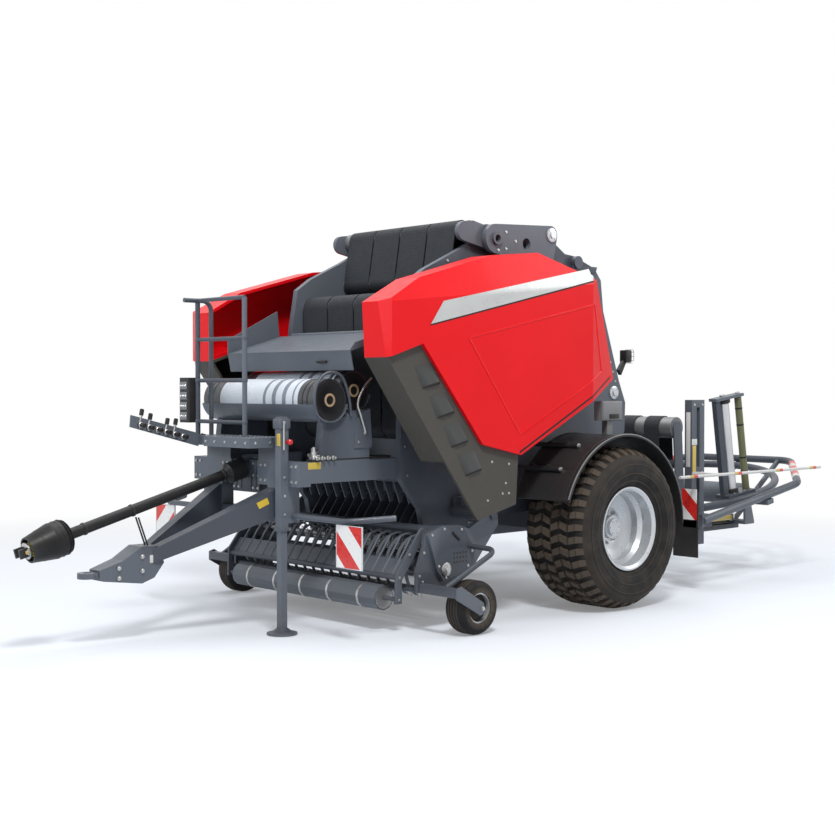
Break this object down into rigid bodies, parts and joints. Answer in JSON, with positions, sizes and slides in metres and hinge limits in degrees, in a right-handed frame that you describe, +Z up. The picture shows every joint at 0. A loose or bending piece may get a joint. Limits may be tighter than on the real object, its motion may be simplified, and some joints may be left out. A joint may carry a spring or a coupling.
{
  "type": "round baler with in-line bale wrapper",
  "caption": "Towed round baler with belts, pickup, twine-free net wrap, lifting tailgate and side panels, and a tilted wrapping ring with film dispensers behind it.",
  "frame": {"origin": "on the ground under the middle of the machine's length and width", "axes": "+X forward to the tow eye, +Y to the machine's left, +Z up"},
  "size_m": [7.5342, 2.856, 2.8029],
  "materials": {
    "blue_paint": "satin",
    "red_paint": "gloss",
    "dark_panel": "matte",
    "black_plastic": "matte",
    "belt_rubber": "matte",
    "roller_steel": "satin",
    "silver_paint": "gloss",
    "tyre_rubber": "matte",
    "aluminium": "satin",
    "net_film": "gloss",
    "white_paint": "gloss",
    "board_white": "satin",
    "grey_plastic": "matte",
    "olive_plastic": "satin"
  },
  "bodies": {
    "chassis": {"axle": "blue_paint", "bale_roller": "blue_paint", "board_arms": "blue_paint", "chamber_sides": "blue_paint", "control_box": "black_plastic", "drawbar": "blue_paint", "fenders": "black_plastic", "front_belts": "belt_rubber", "front_boards": "board_white", "front_rollers": "roller_steel", "gearbox": "blue_paint", "guard_bars": "white_paint", "handrail": "blue_paint", "hose_rack": "blue_paint", "intake_comb": "blue_paint", "jack_tube": "blue_paint", "main_frame": "blue_paint", "mud_flaps": "black_plastic", "net_rolls": "net_film", "net_tray": "blue_paint", "platform": "blue_paint", "rear_boards": "board_white", "rear_box": "grey_plastic", "tension_arms": "blue_paint", "tow_eye": "blue_paint", "valve_block": "aluminium", "wrapper_frame": "blue_paint"},
    "wheel_left": {"rim_left": "silver_paint", "tyre_left": "tyre_rubber"},
    "wheel_right": {"rim_right": "silver_paint", "tyre_right": "tyre_rubber"},
    "jack_leg": {"jack_leg": "blue_paint"},
    "drive_shaft": {"pto_shaft": "black_plastic"},
    "panel_left": {"side_panel_left": "red_paint", "side_skirt_left": "dark_panel"},
    "panel_right": {"side_panel_right": "red_paint", "side_skirt_right": "dark_panel"},
    "tailgate": {"tailgate_frame": "blue_paint", "rear_belts": "belt_rubber", "rear_rollers": "roller_steel"},
    "net_lid": {"net_lid": "blue_paint"},
    "pickup": {"pickup_frame": "blue_paint", "guard_strips": "blue_paint"},
    "reel": {"pickup_reel": "roller_steel"},
    "gauge_wheel_left": {"gauge_rim_left": "silver_paint", "gauge_tyre_left": "tyre_rubber"},
    "gauge_wheel_right": {"gauge_rim_right": "silver_paint", "gauge_tyre_right": "tyre_rubber"},
    "wind_guard": {"wind_guard": "blue_paint", "wind_fingers": "blue_paint"},
    "press_roller": {"press_roller": "blue_paint"},
    "feed_rotor": {"feed_rotor": "blue_paint"},
    "wrap_ring": {"wrap_ring": "blue_paint", "film_rollers": "aluminium", "stretch_rollers": "olive_plastic"},
    "wrap_table": {"table_frame": "blue_paint", "table_rollers": "roller_steel", "table_belts": "belt_rubber"}
  },
  "joints": [
    {"name": "wheel_left_spin", "type": "hinge", "parent": "chassis", "child": "wheel_left", "pos_m": [-0.28, 0, 0.585], "axis": [0, 1, 0], "continuous": true},
    {"name": "wheel_right_spin", "type": "hinge", "parent": "chassis", "child": "wheel_right", "pos_m": [-0.28, 0, 0.585], "axis": [0, 1, 0], "continuous": true},
    {"name": "jack_slide", "type": "slide", "parent": "chassis", "child": "jack_leg", "axis": [0, 0, 1], "range_m": [0, 0.45]},
    {"name": "drive_shaft_spin", "type": "hinge", "parent": "chassis", "child": "drive_shaft", "pos_m": [2.115, 0, 1.066], "axis": [0.9641, 0, -0.2655], "continuous": true},
    {"name": "panel_left_open", "type": "hinge", "parent": "chassis", "child": "panel_left", "pos_m": [0.5, 0.9, 2.43], "axis": [1, 0, 0], "range_deg": [0, 65]},
    {"name": "panel_right_open", "type": "hinge", "parent": "chassis", "child": "panel_right", "pos_m": [0.5, -0.9, 2.43], "axis": [-1, 0, 0], "range_deg": [0, 65]},
    {"name": "tailgate_open", "type": "hinge", "parent": "chassis", "child": "tailgate", "pos_m": [0.44, 0, 2.667], "axis": [0, 1, 0], "range_deg": [0, 65]},
    {"name": "net_lid_open", "type": "hinge", "parent": "chassis", "child": "net_lid", "pos_m": [1.24, 0, 1.99], "axis": [0, -1, 0], "range_deg": [0, 50]},
    {"name": "pickup_lift", "type": "hinge", "parent": "chassis", "child": "pickup", "pos_m": [0.77, 0, 0.72], "axis": [0, -1, 0], "range_deg": [0, 12]},
    {"name": "reel_spin", "type": "hinge", "parent": "pickup", "child": "reel", "pos_m": [1.25, 0, 0.4], "axis": [0, 1, 0], "continuous": true},
    {"name": "gauge_left_spin", "type": "hinge", "parent": "pickup", "child": "gauge_wheel_left", "pos_m": [1.23, 0, 0.175], "axis": [0, 1, 0], "continuous": true},
    {"name": "gauge_right_spin", "type": "hinge", "parent": "pickup", "child": "gauge_wheel_right", "pos_m": [1.23, 0, 0.175], "axis": [0, 1, 0], "continuous": true},
    {"name": "wind_guard_lift", "type": "hinge", "parent": "pickup", "child": "wind_guard", "pos_m": [1.34, 0, 0.64], "axis": [0, -1, 0], "range_deg": [0, 25]},
    {"name": "press_roller_spin", "type": "hinge", "parent": "wind_guard", "child": "press_roller", "pos_m": [1.568, 0, 0.217], "axis": [0, 1, 0], "continuous": true},
    {"name": "feed_rotor_spin", "type": "hinge", "parent": "chassis", "child": "feed_rotor", "pos_m": [0.89, 0, 0.66], "axis": [0, 1, 0], "continuous": true},
    {"name": "wrap_ring_spin", "type": "hinge", "parent": "chassis", "child": "wrap_ring", "pos_m": [-2.43, 0, 0.695], "axis": [0.165, 0, 0.9863], "continuous": true},
    {"name": "wrap_table_lower", "type": "hinge", "parent": "chassis", "child": "wrap_table", "pos_m": [-1.96, 0, 0.64], "axis": [0, -1, 0], "range_deg": [0, 80]}
  ]
}
